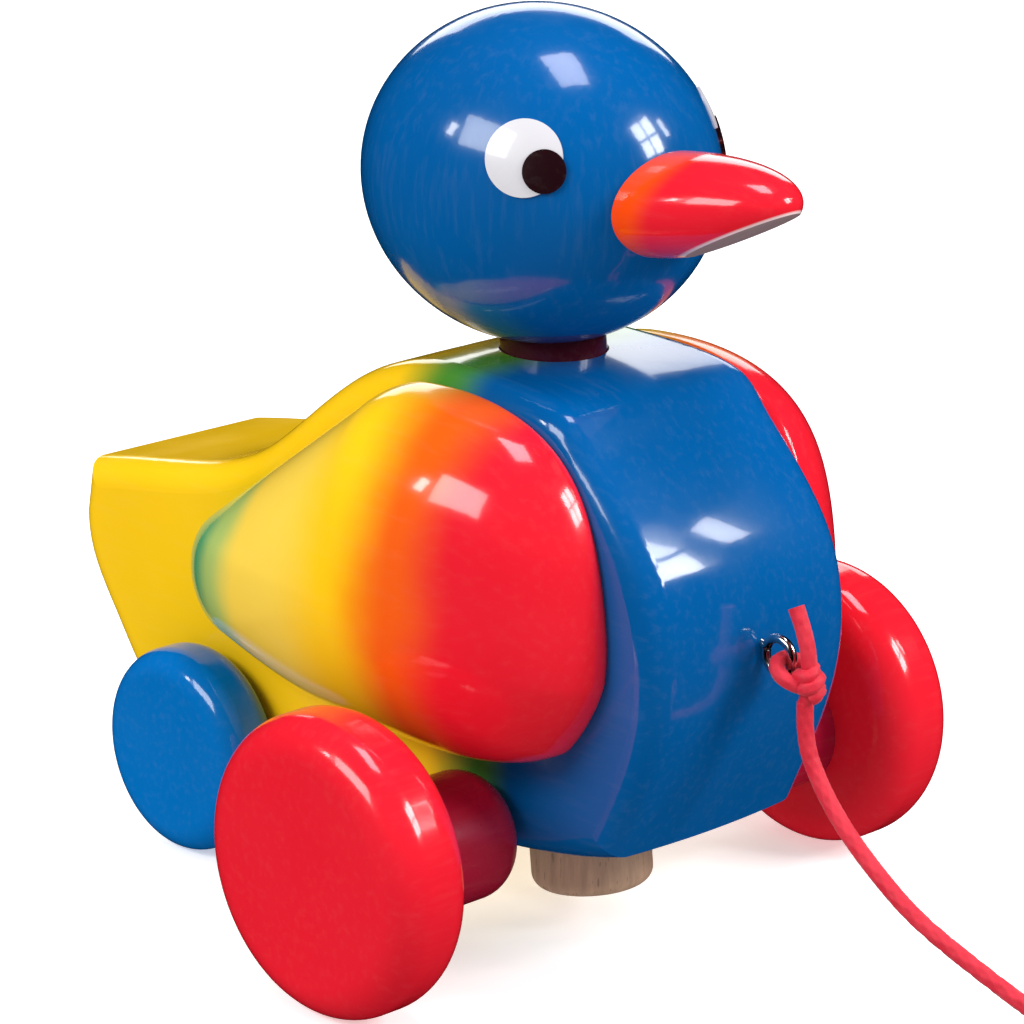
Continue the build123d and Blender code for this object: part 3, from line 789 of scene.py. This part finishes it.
# ---- body, head, beak, wheels and running gear ---------------------------------------------------


def make_body():
    """The sawn and rounded body, sprayed blue over yellow, with the dowels and the bare plug."""
    colours = bpy.context.scene.duck_colours
    dress("body", lacquer("duck_body_lacquer", body_spray(colours)))
    wood = bare_wood("duck_bare_beech", colours.beech)
    crossways = bare_wood("duck_bare_beech_across", colours.beech, (1.0, 0.08, 1.0))
    dress("belly_plug", wood)
    dress("right_wing_dowels", crossways)
    dress("left_wing_dowels", crossways)


def make_head():
    """The turned head with its raised eyes, and the red collar under it, darkened with painted shade."""
    colours = bpy.context.scene.duck_colours
    dress("head", lacquer("duck_head_lacquer", plain(colours.blue), grain=(1.0, 1.0, 0.12)))
    # The collar's colour is red darkened nearly to black: painted shade under the head.
    dress("neck_collar", lacquer("duck_collar_lacquer_painted_shade", plain(colours.collar_maroon_and_painted_shade)))
    white = lacquer("duck_eye_white", plain(colours.white), gloss=0.2)
    dark = lacquer("duck_pupil", plain(colours.dark), gloss=0.2)
    for side in ("right", "left"):
        dress(f"{side}_eye", white)
        dress(f"{side}_pupil", dark)


def make_beak():
    """The beak, orange at its root and red ahead."""
    colours = bpy.context.scene.duck_colours
    dress("beak", lacquer("duck_beak_lacquer_and_painted_reflection", beak_spray(colours)))
    dress("beak_dowel", bare_wood("duck_bare_dowel", colours.beech, (0.08, 1.0, 1.0)))


def make_wheels():
    """The four turned wheels, the front hubs and the rear washers."""
    colours = bpy.context.scene.duck_colours
    red = lacquer("duck_red_lacquer", plain(colours.red), grain=(1.0, 0.12, 1.0))
    blue = lacquer("duck_wheel_blue", plain(colours.wheel_blue), grain=(1.0, 0.12, 1.0))
    hub = lacquer("duck_hub_lacquer", plain(colours.hub), grain=(1.0, 0.12, 1.0), gloss=0.24)
    washer = moulded_plastic("duck_washer_plastic", (0.55, 0.55, 0.53))
    for side in ("right", "left"):
        dress(f"{side}_front_wheel", red)
        dress(f"{side}_hub", hub)
        dress(f"{side}_rear_wheel", blue)
        dress(f"{side}_washer", washer)


def make_running_gear():
    """The axles, the cam with its follower, the stem and its screw."""
    colours = bpy.context.scene.duck_colours
    across = bare_wood("duck_axle_beech", colours.beech, (1.0, 0.08, 1.0))
    upright = bare_wood("duck_stem_beech", colours.beech)
    for node in ("front_axle", "rear_axle", "cam"):
        dress(node, across)
    for node in ("cam_follower", "neck_stem"):
        dress(node, upright)
    dress("neck_screw", bright_metal("duck_screw_metal"))


# ---- stage --------------------------------------------------------------------------------------


LENS = 145.18                           # millimetres, on a sensor 36 mm wide
CAMERA_PLACE = ahead(551.54, -537.3, 333.1)
CAMERA_RIGHT = (0.68037, 0.73282, 0.00840)
CAMERA_UP = (-0.22996, 0.20259, 0.95188)
CAMERA_BACK = (0.69586, -0.64956, 0.30635)
LIGHT_TARGET = Vector((0.03, 0.0, 0.10))


def aimed_light(name, towards, distance, wide, high, power, colour=(1.0, 1.0, 1.0)):
    """A soft rectangular light at a distance from the duck in a direction, facing it."""
    lamp = bpy.data.lights.new(name, "AREA")
    lamp.shape = "RECTANGLE"
    lamp.size = wide
    lamp.size_y = high
    lamp.energy = power
    lamp.color = colour
    holder = bpy.data.objects.new(name, lamp)
    bpy.context.scene.collection.objects.link(holder)
    direction = Vector(towards).normalized()
    holder.location = LIGHT_TARGET + direction * distance
    holder.rotation_euler = (-direction).to_track_quat("-Z", "Y").to_euler()
    return holder


def window_panes(name, towards, distance, wide, high, power):
    """A window of four panes with a cross of bars between them: four soft lights side by side."""
    out = Vector(towards).normalized()
    side = Vector((0.0, 0.0, 1.0)).cross(out).normalized()
    up = out.cross(side)
    middle = out * distance
    for row in (-1, 1):
        for column in (-1, 1):
            place = middle + side * (column * wide * 0.27) + up * (row * high * 0.27)
            pane = aimed_light(
                f"{name}_{row}_{column}", place, place.length, wide * 0.46, high * 0.46, power / 4
            )
            pane.rotation_euler = (-out).to_track_quat("-Z", "Y").to_euler()


def make_stage():
    """The pale floor, the soft windows and the camera."""
    stage = bpy.context.scene.duck_stage
    reach = stage.floor_reach
    level = -0.2 * MM
    corners = [(-reach, -reach, level), (reach, -reach, level), (reach, reach, level), (-reach, reach, level)]
    mesh = bpy.data.meshes.new("studio_floor")
    mesh.from_pydata(corners, [], [(0, 1, 2, 3)])
    floor = bpy.data.objects.new("studio_floor", mesh)
    bpy.context.scene.collection.objects.link(floor)
    pale = Recipe("studio_floor_white", 0.9)
    pale.shader.inputs["Emission Strength"].default_value = 0.45
    pale.shader.inputs["Emission Color"].default_value = (1.0, 1.0, 1.0, 1.0)
    shade = pale.ranged(pale.noise(4.0, 2.0), 0.3, 0.7, 0.0, 0.02)
    pale.link(pale.mixed(shade, (0.93, 0.93, 0.93), (0.85, 0.85, 0.85)), pale.shader.inputs["Base Color"])
    mesh.materials.append(pale.material)
    floor.visible_glossy = False
    floor.visible_diffuse = False
    floor.visible_shadow = False

    world = bpy.data.worlds.new("studio_room")
    world.use_nodes = True
    background = world.node_tree.nodes["Background"]
    background.inputs["Color"].default_value = (1.0, 1.0, 1.0, 1.0)
    background.inputs["Strength"].default_value = stage.room_light
    bpy.context.scene.world = world
    world.cycles_visibility.glossy = False

    power = stage.window_power
    aimed_light("right_window", (-0.10, -0.83, 0.55), 1.15, 0.62, 0.36, power)
    window_panes("front_window", (0.70, 0.40, 0.52), 1.15, 0.34, 0.42, power * 1.3)
    aimed_light("ceiling_light", (0.03, 0.07, 1.0), 1.1, 0.46, 0.30, stage.ceiling_power, (0.93, 0.9, 1.0))
    aimed_light("small_window", (0.56, 0.64, 0.52), 1.2, 0.08, 0.20, power * 0.12)
    aimed_light("back_wall", (-0.70, 0.65, 0.34), 1.2, 0.9, 0.40, stage.wall_power)
    aimed_light("rear_window", (-0.46, -0.74, 0.49), 1.3, 0.10, 0.16, power * 0.15)

    lens = bpy.data.cameras.new("duck_camera")
    lens.lens = LENS
    lens.sensor_width = 36.0
    lens.clip_start = 0.01
    lens.clip_end = 50.0
    camera = bpy.data.objects.new("duck_camera", lens)
    bpy.context.scene.collection.objects.link(camera)
    turn = Matrix((CAMERA_RIGHT, CAMERA_UP, CAMERA_BACK)).transposed().to_4x4()
    camera.matrix_world = Matrix.Translation(CAMERA_PLACE) @ turn
    bpy.context.scene.camera = camera
    bpy.context.scene.view_settings.view_transform = "Standard"


# ---- operators, panel and registration -----------------------------------------------------------


class DuckStageOperator(bpy.types.Operator):
    """Set up the floor, the lights and the camera"""

    bl_idname = "duck.make_stage"
    bl_label = "Stage"

    def execute(self, context):
        make_stage()
        return {"FINISHED"}


class DuckCordOperator(bpy.types.Operator):
    """Make the braided pull cord with its loop, knots and coil"""

    bl_idname = "duck.make_cord"
    bl_label = "Pull cord"

    def execute(self, context):
        make_cord()
        return {"FINISHED"}


class DuckScrewEyeOperator(bpy.types.Operator):
    """Make the screw eye in the breast"""

    bl_idname = "duck.make_screw_eye"
    bl_label = "Screw eye"

    def execute(self, context):
        make_screw_eye()
        return {"FINISHED"}


class DuckBodyOperator(bpy.types.Operator):
    """Finish the body, the plug and the dowels"""

    bl_idname = "duck.make_body"
    bl_label = "Body"

    def execute(self, context):
        make_body()
        return {"FINISHED"}


class DuckWingsOperator(bpy.types.Operator):
    """Make the two domed wings"""

    bl_idname = "duck.make_wings"
    bl_label = "Wings"

    def execute(self, context):
        make_wings()
        return {"FINISHED"}


class DuckHeadOperator(bpy.types.Operator):
    """Finish the head, the eyes and the collar"""

    bl_idname = "duck.make_head"
    bl_label = "Head"

    def execute(self, context):
        make_head()
        return {"FINISHED"}


class DuckBeakOperator(bpy.types.Operator):
    """Finish the beak"""

    bl_idname = "duck.make_beak"
    bl_label = "Beak"

    def execute(self, context):
        make_beak()
        return {"FINISHED"}


class DuckWheelsOperator(bpy.types.Operator):
    """Finish the wheels, the hubs and the washers"""

    bl_idname = "duck.make_wheels"
    bl_label = "Wheels"

    def execute(self, context):
        make_wheels()
        return {"FINISHED"}


class DuckRunningGearOperator(bpy.types.Operator):
    """Finish the axles, the cam, the follower, the stem and the screw"""

    bl_idname = "duck.make_running_gear"
    bl_label = "Running gear"

    def execute(self, context):
        make_running_gear()
        return {"FINISHED"}


class DuckPanel(bpy.types.Panel):
    """The duck's makers and settings in the sidebar"""

    bl_idname = "VIEW3D_PT_duck"
    bl_label = "Pull-along duck"
    bl_space_type = "VIEW_3D"
    bl_region_type = "UI"
    bl_category = "Duck"

    def draw(self, context):
        for operator in OPERATORS:
            self.layout.operator(operator.bl_idname)
        for group in (context.scene.duck_colours, context.scene.duck_cord, context.scene.duck_wings,
                      context.scene.duck_stage):
            box = self.layout.box()
            for setting in group.bl_rna.properties:
                if setting.identifier not in ("rna_type", "name"):
                    box.prop(group, setting.identifier)


OPERATORS = (DuckStageOperator, DuckCordOperator, DuckScrewEyeOperator, DuckBodyOperator, DuckWingsOperator,
             DuckHeadOperator, DuckBeakOperator, DuckWheelsOperator, DuckRunningGearOperator)
GROUPS = {
    "duck_colours": DuckColours,
    "duck_cord": DuckCord,
    "duck_wings": DuckWings,
    "duck_stage": DuckStage,
}


def register():
    """Registers the settings, the operators and the panel."""
    for name, group in GROUPS.items():
        bpy.utils.register_class(group)
        setattr(bpy.types.Scene, name, bpy.props.PointerProperty(type=group))
    for cls in (*OPERATORS, DuckPanel):
        bpy.utils.register_class(cls)


def unregister():
    """Takes back what register added."""
    for cls in (DuckPanel, *reversed(OPERATORS)):
        bpy.utils.unregister_class(cls)
    for name, group in GROUPS.items():
        delattr(bpy.types.Scene, name)
        bpy.utils.unregister_class(group)


def main():
    """Makes everything in order."""
    register()
    bpy.ops.duck.make_stage()
    bpy.ops.duck.make_cord()
    bpy.ops.duck.make_screw_eye()
    bpy.ops.duck.make_body()
    bpy.ops.duck.make_wings()
    bpy.ops.duck.make_head()
    bpy.ops.duck.make_beak()
    bpy.ops.duck.make_wheels()
    bpy.ops.duck.make_running_gear()
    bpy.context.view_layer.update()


if __name__ == "__main__":
    main()
